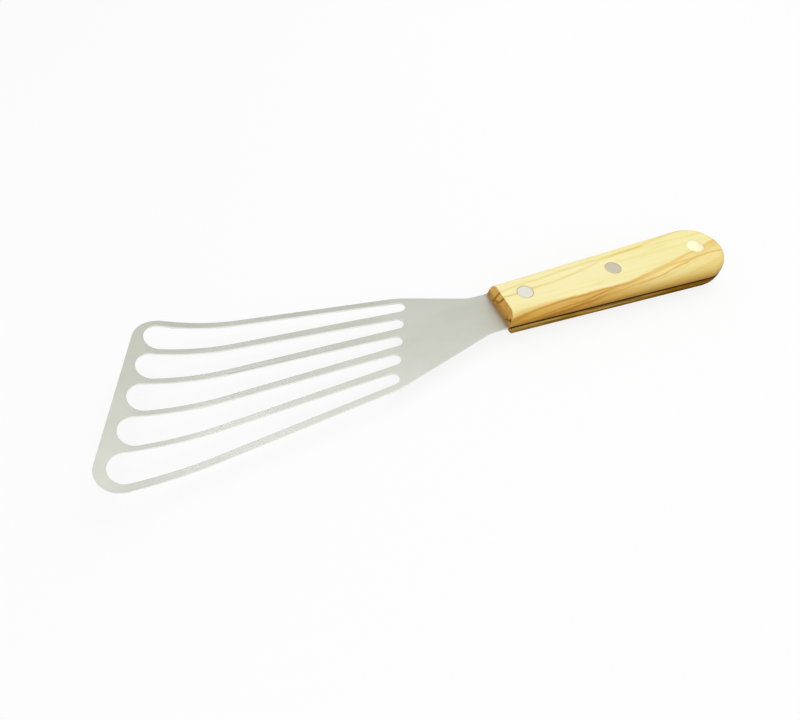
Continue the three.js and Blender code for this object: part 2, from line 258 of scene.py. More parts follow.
def smooth(piece):
    """Smooth shading that keeps flat faces flat and real edges crisp."""
    activate(piece)
    bpy.ops.object.shade_smooth_by_angle(angle=SMOOTH_ANGLE)
    weighted = piece.modifiers.new("flat faces lead", "WEIGHTED_NORMAL")
    weighted.keep_sharp = True
    bpy.ops.object.modifier_apply(modifier=weighted.name)


def place(piece, node, material):
    piece.data.materials.clear()
    piece.data.materials.append(material)
    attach(piece, "root")
    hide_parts(node)


# Pieces

def blade_sheet(material):
    """The blade and tang, with the edges of the sheet and its slots eased all round."""
    piece = copy_of("blade", "blade_sheet")
    activate(piece)
    eased = piece.modifiers.new("eased edges", "BEVEL")
    eased.limit_method = "ANGLE"
    eased.angle_limit = SHEET_EDGE_ANGLE
    eased.width = SHEET_EDGE_ROUND
    eased.segments = SHEET_EDGE_STEPS
    eased.use_clamp_overlap = False
    bpy.ops.object.modifier_apply(modifier=eased.name)
    smooth(piece)
    place(piece, "blade", material)


def wooden_scale(node, name, material):
    """One scale, with the edges of its front face and the hang hole's outer rim rounded."""
    piece = copy_of(node, name)
    seam = UPPER_LOW.z if node == "upper_scale" else LOWER_HIGH.z

    def is_front(face):
        return face.normal.x > FACING_FORWARD and face.calc_center_median().x > HANDLE_FRONT - FRONT_FACE_DEPTH

    def is_hole_wall(face):
        middle = face.calc_center_median()
        reach = math.hypot(middle.x - HANG_HOLE_PLACE, middle.y)
        return abs(face.normal.z) < UPRIGHT_TILT and reach < HANG_HOLE_REACH

    def clear_of_seam(edge):
        return any(abs(end.co.z - seam) > SEAM_CLEARANCE for end in edge.verts)

    edit(piece)
    pick_edges(piece, lambda edge: clear_of_seam(edge) and one_side(edge, is_front))
    bpy.ops.mesh.bevel(offset=SCALE_FRONT_ROUND, segments=ROUND_STEPS, clamp_overlap=False)
    pick_edges(piece, lambda edge: clear_of_seam(edge) and one_side(edge, is_hole_wall))
    bpy.ops.mesh.bevel(offset=HANG_HOLE_ROUND, segments=ROUND_STEPS, clamp_overlap=False)
    leave_edit()
    smooth(piece)
    place(piece, node, material)


def rivet_pin(node, name, material):
    """The upper rivet half: a disc for the head, with the shank drawn down out of its inner face."""
    low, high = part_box(node)
    radius = (high.x - low.x) / 2
    seat = high.z - RIVET_HEAD_HEIGHT
    piece = rivet_head(name, (low.x + high.x) / 2, seat, high.z, radius)
    draw_from(piece, seat, radius - PIN_RADIUS, low.z - seat)
    ease_rim(piece, high.z)
    place(piece, node, material)


def rivet_sleeve(node, pin_node, name, material):
    """The lower rivet half: a disc for the head, with a sleeve drawn up out of it and bored for the pin."""
    low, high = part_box(node)
    radius = (high.x - low.x) / 2
    seat = low.z + RIVET_HEAD_HEIGHT
    bore_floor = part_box(pin_node)[0].z - BORE_END_GAP
    piece = rivet_head(name, (low.x + high.x) / 2, low.z, seat, radius)
    draw_from(piece, seat, radius - SLEEVE_RADIUS, high.z - seat)
    draw_from(piece, high.z, SLEEVE_RADIUS - BORE_RADIUS, bore_floor - high.z)
    ease_rim(piece, low.z)
    place(piece, node, material)


def rivet_head(name, x, bottom, top, radius):
    bpy.ops.object.select_all(action="DESELECT")
    bpy.ops.mesh.primitive_cylinder_add(
        vertices=RIVET_SIDES, radius=radius, depth=top - bottom, location=(x, 0, (bottom + top) / 2))
    piece = bpy.context.object
    piece.name = name
    bpy.ops.object.transform_apply(location=True, rotation=True, scale=True)
    return piece


def draw_from(piece, height, inset, rise):
    """Insets the flat round face at a height, and draws its middle up by a rise, or down by a negative one."""
    edit(piece)
    bpy.ops.mesh.select_mode(type="FACE")
    mesh = bmesh.from_edit_mesh(piece.data)
    for face in mesh.faces:
        at_height = all(abs(corner.co.z - height) < SAME_HEIGHT for corner in face.verts)
        face.select_set(at_height and len(face.verts) == RIVET_SIDES)
    bmesh.update_edit_mesh(piece.data)
    bpy.ops.mesh.inset(thickness=inset, depth=0)
    bpy.ops.mesh.extrude_region_move(TRANSFORM_OT_translate={"value": (0, 0, rise)})
    leave_edit()


def ease_rim(piece, height):
    """Rounds the rim of the head's outer face."""
    edit(piece)
    pick_edges(piece, lambda edge: all(abs(end.co.z - height) < SAME_HEIGHT for end in edge.verts))
    bpy.ops.mesh.bevel(offset=RIVET_RIM_ROUND, segments=ROUND_STEPS, clamp_overlap=False)
    leave_edit()
    smooth(piece)


# Node helpers

def new_node(tree, kind, inputs=None, **settings):
    made = tree.nodes.new(kind)
    for name, value in settings.items():
        setattr(made, name, value)
    for name, value in (inputs or {}).items():
        if isinstance(value, bpy.types.NodeSocket):
            tree.links.new(value, made.inputs[name])
        else:
            made.inputs[name].default_value = value
    return made


def maths(tree, operation, first, second=0.0, third=0.0):
    made = new_node(tree, "ShaderNodeMath", {0: first, 1: second, 2: third}, operation=operation)
    return made.outputs[0]


def ease_between(tree, value, low, high, to_low=0.0, to_high=1.0):
    """A smooth step of a value from low to high."""
    made = new_node(tree, "ShaderNodeMapRange", {
        "Value": value, "From Min": low, "From Max": high, "To Min": to_low, "To Max": to_high,
    }, interpolation_type="SMOOTHSTEP")
    return made.outputs[0]


def mix_colours(tree, share, first, second, blend="MIX"):
    made = new_node(tree, "ShaderNodeMix", {0: share, 6: first, 7: second}, data_type="RGBA", blend_type=blend)
    return made.outputs[2]


def colour_ramp(tree, value, stops):
    made = new_node(tree, "ShaderNodeValToRGB", {0: value})
    elements = made.color_ramp.elements
    while len(elements) < len(stops):
        elements.new(0.5)
    for element, (position, tint) in zip(elements, stops):
        element.position = position
        element.color = tint
    return made.outputs[0]


def vector_maths(tree, operation, first, second):
    made = new_node(tree, "ShaderNodeVectorMath", {0: first}, operation=operation)
    if operation == "SCALE":
        tree.links.new(second, made.inputs["Scale"])
    elif isinstance(second, bpy.types.NodeSocket):
        tree.links.new(second, made.inputs[1])
    else:
        made.inputs[1].default_value = second
    return made


def separate(tree, vector):
    made = new_node(tree, "ShaderNodeSeparateXYZ", {0: vector})
    return made.outputs[0], made.outputs[1], made.outputs[2]


def reach_of(tree, first, second):
    """How far two offsets at right angles lead, taken together."""
    squares = maths(tree, "ADD", maths(tree, "MULTIPLY", first, first), maths(tree, "MULTIPLY", second, second))
    return maths(tree, "SQRT", squares)


def stretched(tree, position, along_mm, across_mm, shift=(0.0, 0.0, 0.0)):
    """Coordinates whose unit is one length along the handle and another across it."""
    made = new_node(tree, "ShaderNodeMapping", {
        "Vector": position,
        "Location": shift,
        "Scale": (1 / (along_mm * MM), 1 / (across_mm * MM), 1 / (across_mm * MM)),
    })
    return made.outputs[0]


def cloud(tree, vector, detail=2.0, roughness=0.5):
    made = new_node(tree, "ShaderNodeTexNoise", {
        "Vector": vector, "Scale": 1.0, "Detail": detail, "Roughness": roughness,
    })
    return made.outputs[0]


def new_group(name, inputs, outputs):
    group = bpy.data.node_groups.new(name, "ShaderNodeTree")
    for label, kind in inputs:
        group.interface.new_socket(label, in_out="INPUT", socket_type=kind)
    for label, kind in outputs:
        group.interface.new_socket(label, in_out="OUTPUT", socket_type=kind)
    entry = group.nodes.new("NodeGroupInput")
    leave = group.nodes.new("NodeGroupOutput")
    return group, entry.outputs, leave.inputs


def new_material(name):
    """A material with a bare Principled shader, its tree and the surface's Object coordinates."""
    material = bpy.data.materials.new(name)
    material.use_nodes = True
    tree = material.node_tree
    shader = tree.nodes["Principled BSDF"]
    coordinates = tree.nodes.new("ShaderNodeTexCoord").outputs["Object"]
    return material, tree, shader, coordinates


def facing_of(tree):
    """Which way the surface faces."""
    return tree.nodes.new("ShaderNodeNewGeometry").outputs["Normal"]


# Shared effects

def fibre_group():
    """Broad streaks, thin winding lines and fine fibres of a wood whose grain runs along the handle."""
    group, given, made = new_group(
        "wood_fibres",
        [("Position", "NodeSocketVector")],
        [("Streaks", "NodeSocketFloat"), ("Lines", "NodeSocketFloat"), ("Fibres", "NodeSocketFloat")])
    position = given["Position"]
    streaks = cloud(group, stretched(group, position, 70, 2.2, (2, 9, 4)), 3.0)
    field = cloud(group, stretched(group, position, 130, 7), 1.5, 0.45)
    contour = maths(group, "FRACT", maths(group, "MULTIPLY", field, 9.0))
    off_line = maths(group, "ABSOLUTE", maths(group, "SUBTRACT", contour, 0.5))
    line = ease_between(group, off_line, 0.0, 0.16, 1.0, 0.0)
    presence = ease_between(group, cloud(group, stretched(group, position, 60, 9, (7, 3, 1))), 0.42, 0.62)
    fibres = cloud(group, stretched(group, position, 9, 0.22, (5, 1, 8)), 3.0, 0.6)
    group.links.new(ease_between(group, streaks, 0.38, 0.7), made["Streaks"])
    group.links.new(maths(group, "MULTIPLY", line, presence), made["Lines"])
    group.links.new(fibres, made["Fibres"])
    return group


def end_grain_group():
    """Where a scale is cut across its grain: the front face, the rounded butt and the hang hole's wall."""
    group, given, made = new_group(
        "end_grain",
        [("Position", "NodeSocketVector"), ("Facing", "NodeSocketVector")],
        [("Front", "NodeSocketFloat"), ("Butt", "NodeSocketFloat"), ("Bore", "NodeSocketFloat")])
    along, across, _ = separate(group, given["Position"])
    ahead, _, rising = separate(group, given["Facing"])
    at_front = ease_between(
        group, along, HANDLE_FRONT - FRONT_FACE_DEPTH - 1 * MM, HANDLE_FRONT - FRONT_FACE_DEPTH)
    front = maths(group, "MULTIPLY", at_front, ease_between(group, ahead, 0.45, 0.70))
    at_butt = ease_between(group, along, HANDLE_BUTT + 2 * MM, HANDLE_BUTT + 9 * MM, 1.0, 0.0)
    butt = maths(group, "MULTIPLY", at_butt, ease_between(group, ahead, -0.35, -0.9))
    reach = reach_of(group, maths(group, "SUBTRACT", along, HANG_HOLE_PLACE), across)
    in_hole = ease_between(group, reach, HANG_HOLE_REACH - 0.4 * MM, HANG_HOLE_REACH, 1.0, 0.0)
    upright = ease_between(group, maths(group, "ABSOLUTE", rising), 0.3, 0.7, 1.0, 0.0)
    group.links.new(front, made["Front"])
    group.links.new(butt, made["Butt"])
    group.links.new(maths(group, "MULTIPLY", in_hole, upright), made["Bore"])
    return group


def rivet_ring_group():
    """A thin dark ring in the wood round each rivet head, where oil and dirt gather."""
    group, given, made = new_group(
        "rivet_rings", [("Position", "NodeSocketVector")], [("Ring", "NodeSocketFloat")])
    along, across, _ = separate(group, given["Position"])
    rings = []
    for pin in ("front_rivet_pin", "rear_rivet_pin"):
        low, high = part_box(pin)
        radius = (high.x - low.x) / 2
        away = maths(group, "SUBTRACT", along, (low.x + high.x) / 2)
        reach = reach_of(group, away, across)
        rings.append(ease_between(group, reach, radius + 0.1 * MM, radius + 0.6 * MM, 1.0, 0.0))
    group.links.new(maths(group, "MAXIMUM", *rings), made["Ring"])
    return group


def ground_metal_group():
    """Fine grinding marks along the part, thin scratches and the broad unevenness of a handled metal."""
    group, given, made = new_group(
        "ground_metal",
        [("Position", "NodeSocketVector")],
        [("Marks", "NodeSocketFloat"), ("Unevenness", "NodeSocketFloat"), ("Scratches", "NodeSocketFloat")])
    position = given["Position"]
    marks = cloud(group, stretched(group, position, 7, 0.12), 3.0, 0.65)
    broad = cloud(group, stretched(group, position, 26, 14, (3, 5, 2)), 3.0, 0.55)
    thin = cloud(group, stretched(group, position, 16, 0.3, (4, 8, 6)), 2.0, 0.5)
    group.links.new(marks, made["Marks"])
    group.links.new(broad, made["Unevenness"])
    group.links.new(ease_between(group, thin, 0.70, 0.76), made["Scratches"])
    return group


def place_group(tree, group, **inputs):
    made = new_node(tree, "ShaderNodeGroup", node_tree=group)
    for name, value in inputs.items():
        tree.links.new(value, made.inputs[name])
    return made.outputs


def bump(tree, height, depth_mm, strength):
    made = new_node(tree, "ShaderNodeBump", {
        "Height": height, "Distance": depth_mm * MM, "Strength": strength,
    })
    return made.outputs[0]


# Materials

def satin_steel(metal):
    """Satin sheet steel, with painted highlights toward its sides and on its cut edges, painted shade across the
    curl, painted shade and reflection of the wood ahead of the handle, and dark brown on the tang's edges inside it.
    """
    material, tree, shader, position = new_material("satin_steel")
    finish = place_group(tree, metal, Position=position)
    along, across, _ = separate(tree, position)
    tint = colour_ramp(tree, finish["Unevenness"], [(0.30, STEEL_DULL), (0.70, STEEL_BRIGHT)])
    tint = mix_colours(tree, maths(tree, "MULTIPLY", finish["Scratches"], 0.18), tint, STEEL_SCRATCH)
    # Painted highlight: lighter toward the longer side and on the far side of the neck.
    longer_side_highlight = ease_between(tree, across, *LONGER_SIDE_HIGHLIGHT, 0.0, 0.28)
    neck_side_highlight = maths(
        tree, "MULTIPLY", ease_between(tree, across, *NECK_SIDE_HIGHLIGHT), ease_between(tree, along, *NECK_HIGHLIGHT_END, 0.0, 0.28))
    tint = mix_colours(tree, maths(tree, "MAXIMUM", longer_side_highlight, neck_side_highlight), tint, STEEL_PAINTED_HIGHLIGHT)
    # Painted shade: a darker band across the blade where it starts to curl up.
    reach = maths(tree, "MULTIPLY_ADD", across, -math.tan(FRONT_SLANT), along)
    painted_curl_shade = maths(
        tree, "MULTIPLY", ease_between(tree, reach, *CURL_SHADE_START),
        ease_between(tree, reach, *CURL_SHADE_END, 0.0, 0.3))
    tint = mix_colours(tree, painted_curl_shade, tint, STEEL_PAINTED_CURL_SHADE)
    # Painted highlight: the cut edges of the sheet lighter, more so past the neck.
    rising = maths(tree, "ABSOLUTE", separate(tree, facing_of(tree))[2])
    edge = ease_between(tree, rising, 0.45, 0.8, 1.0, 0.0)
    past_neck = ease_between(tree, along, *CUT_EDGE_HIGHLIGHT_GROWS)
    tint = mix_colours(tree, edge, tint, mix_colours(tree, past_neck, CUT_EDGE_HIGHLIGHT_NECK, CUT_EDGE_HIGHLIGHT_BLADE))
    # Painted shade and painted reflection of the wood: brown on the steel just ahead of the handle, fading within a
    # few millimetres.
    painted_handle_shade = ease_between(tree, along, HANDLE_FRONT, HANDLE_FRONT + HANDLE_SHADE_REACH, 0.5, 0.0)
    tint = mix_colours(tree, painted_handle_shade, tint, STEEL_PAINTED_HANDLE_SHADE)
    # Dark brown and not metal on the tang's edges inside the handle, reaching about 1 mm past its front on the
    # edges.
    dark_edge_end = maths(tree, "MULTIPLY_ADD", edge, -DARK_EDGE_REACH, along)
    in_handle = ease_between(tree, dark_edge_end, HANDLE_FRONT - 0.4 * MM, HANDLE_FRONT, 1.0, 0.0)
    tint = mix_colours(tree, in_handle, tint, TANG_EDGE_DARK)
    tree.links.new(tint, shader.inputs["Base Color"])
    shader.inputs["Specular IOR Level"].default_value = 0.0
    tree.links.new(maths(tree, "SUBTRACT", 1.0, in_handle), shader.inputs["Metallic"])
    tree.links.new(ease_between(tree, finish["Marks"], 0.25, 0.75, 0.40, 0.50), shader.inputs["Roughness"])
    tree.links.new(bump(tree, finish["Marks"], 0.02, 0.25), shader.inputs["Normal"])
    return material


def rivet_metal(name, tint, metal):
    """Rivet heads ground flush with the wood."""
    material, tree, shader, position = new_material(name)
    finish = place_group(tree, metal, Position=position)
    dull = tuple(0.9 * part for part in tint[:3]) + (1.0,)
    tree.links.new(colour_ramp(tree, finish["Marks"], [(0.25, dull), (0.75, tint)]), shader.inputs["Base Color"])
    shader.inputs["Metallic"].default_value = 1.0
    tree.links.new(ease_between(tree, finish["Marks"], 0.25, 0.75, 0.34, 0.50), shader.inputs["Roughness"])
    tree.links.new(bump(tree, finish["Marks"], 0.02, 0.3), shader.inputs["Normal"])
    return material


def share_along(tree, along):
    """0 at the handle's butt and 1 at its front."""
    made = new_node(tree, "ShaderNodeMapRange", {
        "Value": along, "From Min": HANDLE_BUTT, "From Max": HANDLE_FRONT})
    return made.outputs[0]


def handle_share(place_mm):
    """The share of the handle's length from its butt, at a place along it in millimetres."""
    return (place_mm * MM - HANDLE_BUTT) / (HANDLE_FRONT - HANDLE_BUTT)


def tint_along(tree, along, tints_mm):
    """A tint that changes along the handle, given at places in millimetres from the butt forward."""
    stops = [(handle_share(place_mm), colour(*tint)) for place_mm, tint in tints_mm]
    return colour_ramp(tree, share_along(tree, along), stops)


def vein_path(tree, along, points_mm):
    """Where a vein lies in y less z, in millimetres, as a curve over the length of the handle."""
    made = tree.nodes.new("ShaderNodeFloatCurve")
    span_mm = VEIN_HIGH_MM - VEIN_LOW_MM
    spots = sorted((handle_share(x_mm), (level_mm - VEIN_LOW_MM) / span_mm) for x_mm, level_mm in points_mm)
    curve = made.mapping.curves[0]
    curve.points[0].location = spots[0]
    curve.points[1].location = spots[-1]
    for spot in spots[1:-1]:
        curve.points.new(*spot)
    made.mapping.update()
    tree.links.new(share_along(tree, along), made.inputs["Value"])
    return maths(tree, "MULTIPLY_ADD", made.outputs[0], span_mm, VEIN_LOW_MM)


def stroke(tree, position, ends_mm, core_mm, edge_mm):
    """A mask along a straight stroke in y and z, full within its core and gone at its edge."""
    start = Vector((0, *ends_mm[0])) * MM
    run = Vector((0, *ends_mm[1])) * MM - start
    flat = vector_maths(tree, "MULTIPLY", position, (0, 1, 1)).outputs[0]
    offset = vector_maths(tree, "SUBTRACT", flat, start).outputs[0]
    along = new_node(tree, "ShaderNodeMath", {
        0: vector_maths(tree, "DOT_PRODUCT", offset, run).outputs["Value"], 1: run.length_squared,
    }, operation="DIVIDE", use_clamp=True).outputs[0]
    nearest = vector_maths(tree, "SCALE", run, along).outputs[0]
    reach = vector_maths(tree, "DISTANCE", offset, nearest).outputs["Value"]
    return ease_between(tree, reach, core_mm * MM, edge_mm * MM, 1.0, 0.0)


def wood_masks(tree, position, fibres, end_grain, rivet_rings):
    """The grain, the faces cut across it and the rivets' rings, from the shared effects."""
    grain = place_group(tree, fibres, Position=position)
    cut = place_group(tree, end_grain, Position=position, Facing=facing_of(tree))
    ring = place_group(tree, rivet_rings, Position=position)["Ring"]
    return grain, cut, ring


def finish_wood(tree, shader, wood, grain, ring, sheen):
    """Stains the wood round the rivets, and gives it the sheen and the relief of its fibres."""
    wood = mix_colours(tree, maths(tree, "MULTIPLY", ring, 0.45), wood, RING_TINT)
    wood = mix_colours(tree, ease_between(tree, grain["Fibres"], 0.55, 0.8, 0.0, 0.16), wood, FIBRE_TINT)
    tree.links.new(wood, shader.inputs["Base Color"])
    shader.inputs["Specular IOR Level"].default_value = sheen
    tree.links.new(ease_between(tree, grain["Fibres"], 0.3, 0.7, 0.46, 0.60), shader.inputs["Roughness"])
    tree.links.new(bump(tree, grain["Fibres"], 0.05, 0.2), shader.inputs["Normal"])


ScaleSpot = collections.namedtuple("ScaleSpot", "along across up ragged level_mm toward_front")


def spot_on_scale(tree, position):
    """Where a point of the upper scale lies, with the winding level that its veins are drawn by."""
    along, across, up = separate(tree, position)
    wander = cloud(tree, stretched(tree, position, 11, 5, (1, 6, 3)), 2.0)
    ragged = cloud(tree, stretched(tree, position, 3.2, 1.1, (4, 2, 7)), 2.0)
    level_mm = maths(tree, "DIVIDE", maths(tree, "SUBTRACT", across, up), MM)
    level_mm = maths(tree, "ADD", level_mm, maths(tree, "MULTIPLY_ADD", wander, 0.6, -0.3))
    level_mm = maths(tree, "ADD", level_mm, maths(tree, "MULTIPLY_ADD", ragged, 0.8, -0.4))
    toward_front = ease_between(tree, along, -58 * MM, 0.0)
    return ScaleSpot(along, across, up, ragged, level_mm, toward_front)


def past(tree, spot, path_mm):
    """How far a point lies past a vein's path, in millimetres."""
    return maths(tree, "SUBTRACT", spot.level_mm, vein_path(tree, spot.along, path_mm))


def band(tree, offset_mm, core_mm, edge_mm, strength):
    """A mask on both sides of a path, full within its core and gone at its edge."""
    return ease_between(tree, maths(tree, "ABSOLUTE", offset_mm), core_mm, edge_mm, strength, 0.0)


def sapwood_tint(tree, spot, grain, heart_mm):
    """Pale wood with faint lines and two golden streaks, warmer as it nears the heart."""
    pale = mix_colours(tree, spot.toward_front, colour(246, 236, 172), colour(248, 238, 181))
    deep = mix_colours(tree, spot.toward_front, colour(242, 228, 152), colour(244, 232, 163))
    tint = mix_colours(tree, grain["Streaks"], pale, deep)
    tint = mix_colours(tree, maths(tree, "MULTIPLY", grain["Lines"], 0.3), tint, colour(224, 196, 108))
    broken = maths(tree, "MULTIPLY_ADD", grain["Streaks"], 0.5, 0.5)
    leaf = maths(tree, "MULTIPLY", band(tree, past(tree, spot, LEAF_STREAK_MM), 0.1, 1.2, 0.7), broken)
    leaf = maths(tree, "MULTIPLY", leaf, spot.toward_front)
    far = maths(tree, "MULTIPLY", band(tree, past(tree, spot, FAR_STREAK_MM), 0.1, 1.2, 0.65), broken)
    tint = mix_colours(tree, leaf, tint, STREAK_TINT)
    tint = mix_colours(tree, far, tint, STREAK_TINT)
    warm_from = maths(tree, "MULTIPLY_ADD", ease_between(tree, spot.along, 4 * MM, 30 * MM), -3.4, -1.8)
    warm_share = maths(tree, "MULTIPLY_ADD", spot.toward_front, 0.75, 0.25)
    warming = maths(tree, "MULTIPLY", ease_between(tree, heart_mm, warm_from, -0.2), warm_share)
    return mix_colours(tree, maths(tree, "MULTIPLY", warming, 0.9), tint, colour(230, 190, 104))


def heartwood_tint(tree, spot, grain, heart_mm):
    """Golden wood behind the heart's edge, deeper toward the front, with its figure, its dark rim and its veins."""
    depth = new_node(tree, "ShaderNodeMapRange", {"Value": heart_mm, "From Min": 0.0, "From Max": 12.0}).outputs[0]
    front_heart = colour_ramp(tree, depth, [
        (0.00, colour(204, 148, 54)), (0.10, colour(228, 182, 98)), (0.33, colour(222, 170, 80)),
        (0.45, colour(208, 154, 60)), (0.60, colour(210, 160, 70)), (0.85, colour(208, 164, 80)),
        (1.00, colour(196, 150, 56))])
    behind_front = ease_between(tree, spot.along, 28 * MM, 8 * MM, 0.0, 0.42)
    front_heart = mix_colours(tree, behind_front, front_heart, colour(242, 206, 128))
    rear_heart = colour_ramp(tree, depth, [
        (0.00, colour(240, 206, 122)), (0.12, colour(245, 227, 154)), (0.60, colour(244, 227, 156)),
        (1.00, colour(238, 214, 130))])
    tint = mix_colours(tree, spot.toward_front, rear_heart, front_heart)
    shade = maths(tree, "MULTIPLY", grain["Streaks"], maths(tree, "MULTIPLY_ADD", spot.toward_front, 0.2, 0.06))
    tint = mix_colours(tree, shade, tint, colour(204, 146, 58))
    tint = mix_colours(tree, heart_figure(tree, spot, heart_mm), tint, colour(196, 140, 50))
    return heart_veins(tree, spot, dark_rim(tree, spot, tint))


def heart_figure(tree, spot, heart_mm):
    """A mask of fine lines that flow along the heart's edge."""
    flow = new_node(tree, "ShaderNodeCombineXYZ", {
        "X": maths(tree, "DIVIDE", spot.along, 34 * MM), "Y": maths(tree, "MULTIPLY", heart_mm, 0.6)})
    lines = ease_between(tree, cloud(tree, flow.outputs[0], 4.0, 0.62), 0.52, 0.60)
    return maths(tree, "MULTIPLY", lines, maths(tree, "MULTIPLY_ADD", spot.toward_front, 0.35, 0.12))


def dark_rim(tree, spot, tint):
    """The heart's tint, darker down its rounded side."""
    rim_mm = maths(tree, "DIVIDE", maths(tree, "SUBTRACT", spot.up, UPPER_LOW.z), MM)
    rim_mm = maths(tree, "ADD", rim_mm, maths(tree, "DIVIDE", spot.across, 4 * MM))
    rim_mm = maths(tree, "ADD", rim_mm, maths(tree, "MULTIPLY_ADD", spot.ragged, 0.8, -0.4))
    tint = mix_colours(tree, ease_between(tree, rim_mm, 9.6, 6.4, 0.0, 0.7), tint, colour(216, 170, 72))
    rim_tint = mix_colours(tree, spot.toward_front, colour(196, 152, 56), colour(188, 138, 42))
    return mix_colours(tree, ease_between(tree, rim_mm, 6.6, 4.8, 0.0, 0.7), tint, rim_tint)


def heart_veins(tree, spot, tint):
    """The heart's tint with its inner line, its second vein and the branch between the veins at the rear."""
    inner = maths(tree, "MULTIPLY", band(tree, past(tree, spot, INNER_LINE_MM), 0.1, 0.8, 0.85), spot.toward_front)
    tint = mix_colours(tree, inner, tint, colour(188, 132, 36))
    second_mm = past(tree, spot, SECOND_VEIN_MM)
    well_forward = ease_between(tree, spot.along, -26 * MM, 4 * MM)
    second_tint = mix_colours(tree, well_forward, colour(224, 182, 82), colour(164, 108, 16))
    beside = maths(tree, "MULTIPLY", band(tree, second_mm, 0.5, 1.9, 0.6), well_forward)
    tint = mix_colours(tree, beside, tint, colour(176, 120, 24))
    tint = mix_colours(tree, band(tree, second_mm, 0.1, 0.75, 0.85), tint, second_tint)
    rearward = maths(tree, "SUBTRACT", 1.0, well_forward)
    branch = maths(tree, "MULTIPLY", band(tree, past(tree, spot, BRANCH_VEIN_MM), 0.3, 1.1, 0.8), rearward)
    return mix_colours(tree, branch, tint, colour(232, 194, 106))


def heart_edge_vein(tree, spot, heart_mm, wood):
    """The wood with the dark vein along the heart's edge, broader where it starts at the front."""
    vein_tint = mix_colours(tree, spot.toward_front, colour(235, 203, 116), colour(204, 152, 62))
    wood = mix_colours(tree, band(tree, heart_mm, 0.2, 0.9, 0.9), wood, vein_tint)
    start = band(tree, maths(tree, "SUBTRACT", heart_mm, 1.3), 0.6, 1.8, 0.8)
    start = maths(tree, "MULTIPLY", start, ease_between(tree, spot.along, 22 * MM, 33 * MM))
    return mix_colours(tree, start, wood, colour(188, 136, 40))


def shaded_at_seam(tree, spot, wood):
    """The wood with a shade over the seam and a thin dark line at it."""
    shade_top = maths(tree, "MULTIPLY_ADD", spot.toward_front, -2.2 * MM, UPPER_LOW.z + 4.7 * MM)
    shade = ease_between(tree, spot.up, UPPER_LOW.z + 0.2 * MM, shade_top, 0.38, 0.0)
    shade = maths(tree, "MULTIPLY", shade, ease_between(tree, spot.along, 28 * MM, 35 * MM, 1.0, 0.3))
    wood = mix_colours(tree, shade, wood, colour(122, 80, 6))
    line = ease_between(tree, spot.up, UPPER_LOW.z + 0.15 * MM, UPPER_LOW.z + 0.7 * MM, 0.6, 0.0)
    return mix_colours(tree, line, wood, colour(100, 62, 18))


def front_face_tint(tree, position, spot, grain):
    """The front face's end grain, with painted shade low down by the blade and toward the near side, dark checks,
    and a knot and its arc low on the near side.
    """
    # Painted shade: the end grain darker low down by the blade and toward the near side, lighter high up.
    lit_high_up = ease_between(tree, spot.up, UPPER_LOW.z + 1.3 * MM, UPPER_LOW.z + 4.5 * MM)
    lit_high_up = maths(tree, "MULTIPLY", lit_high_up, ease_between(tree, spot.across, 0.5 * MM, 5 * MM, 1.0, 0.6))
    light = mix_colours(tree, lit_high_up, colour(210, 161, 74), colour(248, 196, 98))
    deep = mix_colours(tree, lit_high_up, colour(194, 143, 56), colour(236, 180, 80))
    tint = mix_colours(tree, grain["Streaks"], light, deep)
    for ends_mm in FRONT_CHECKS_MM:
        check = maths(tree, "MULTIPLY", stroke(tree, position, ends_mm, 0.1, 0.9), 0.95)
        tint = mix_colours(tree, check, tint, colour(178, 114, 8))
    for ends_mm in KNOT_ARC_MM:
        tint = mix_colours(tree, stroke(tree, position, ends_mm, 0.0, 0.8), tint, colour(150, 96, 20))
    return mix_colours(tree, stroke(tree, position, KNOT_MM, 0.2, 1.1), tint, colour(132, 70, 0))


def olive_wood(fibres, end_grain, rivet_rings):
    """The upper scale's wood: pale sapwood, and a golden heart behind a dark winding vein."""
    material, tree, shader, position = new_material("olive_wood_upper")
    grain, cut, ring = wood_masks(tree, position, fibres, end_grain, rivet_rings)
    spot = spot_on_scale(tree, position)
    heart_mm = past(tree, spot, HEART_EDGE_MM)
    sapwood = sapwood_tint(tree, spot, grain, heart_mm)
    heartwood = heartwood_tint(tree, spot, grain, heart_mm)
    wood = mix_colours(tree, ease_between(tree, heart_mm, -0.1, 0.5), sapwood, heartwood)
    wood = shaded_at_seam(tree, spot, heart_edge_vein(tree, spot, heart_mm, wood))
    wood = mix_colours(tree, cut["Front"], wood, front_face_tint(tree, position, spot, grain))
    wood = mix_colours(tree, maths(tree, "MULTIPLY", cut["Butt"], 0.4), wood, colour(226, 174, 94))
    wood = mix_colours(tree, cut["Bore"], wood, BORE_TINT_PAINTED_LIGHT)
    finish_wood(tree, shader, wood, grain, ring, sheen=0.2)
    return material


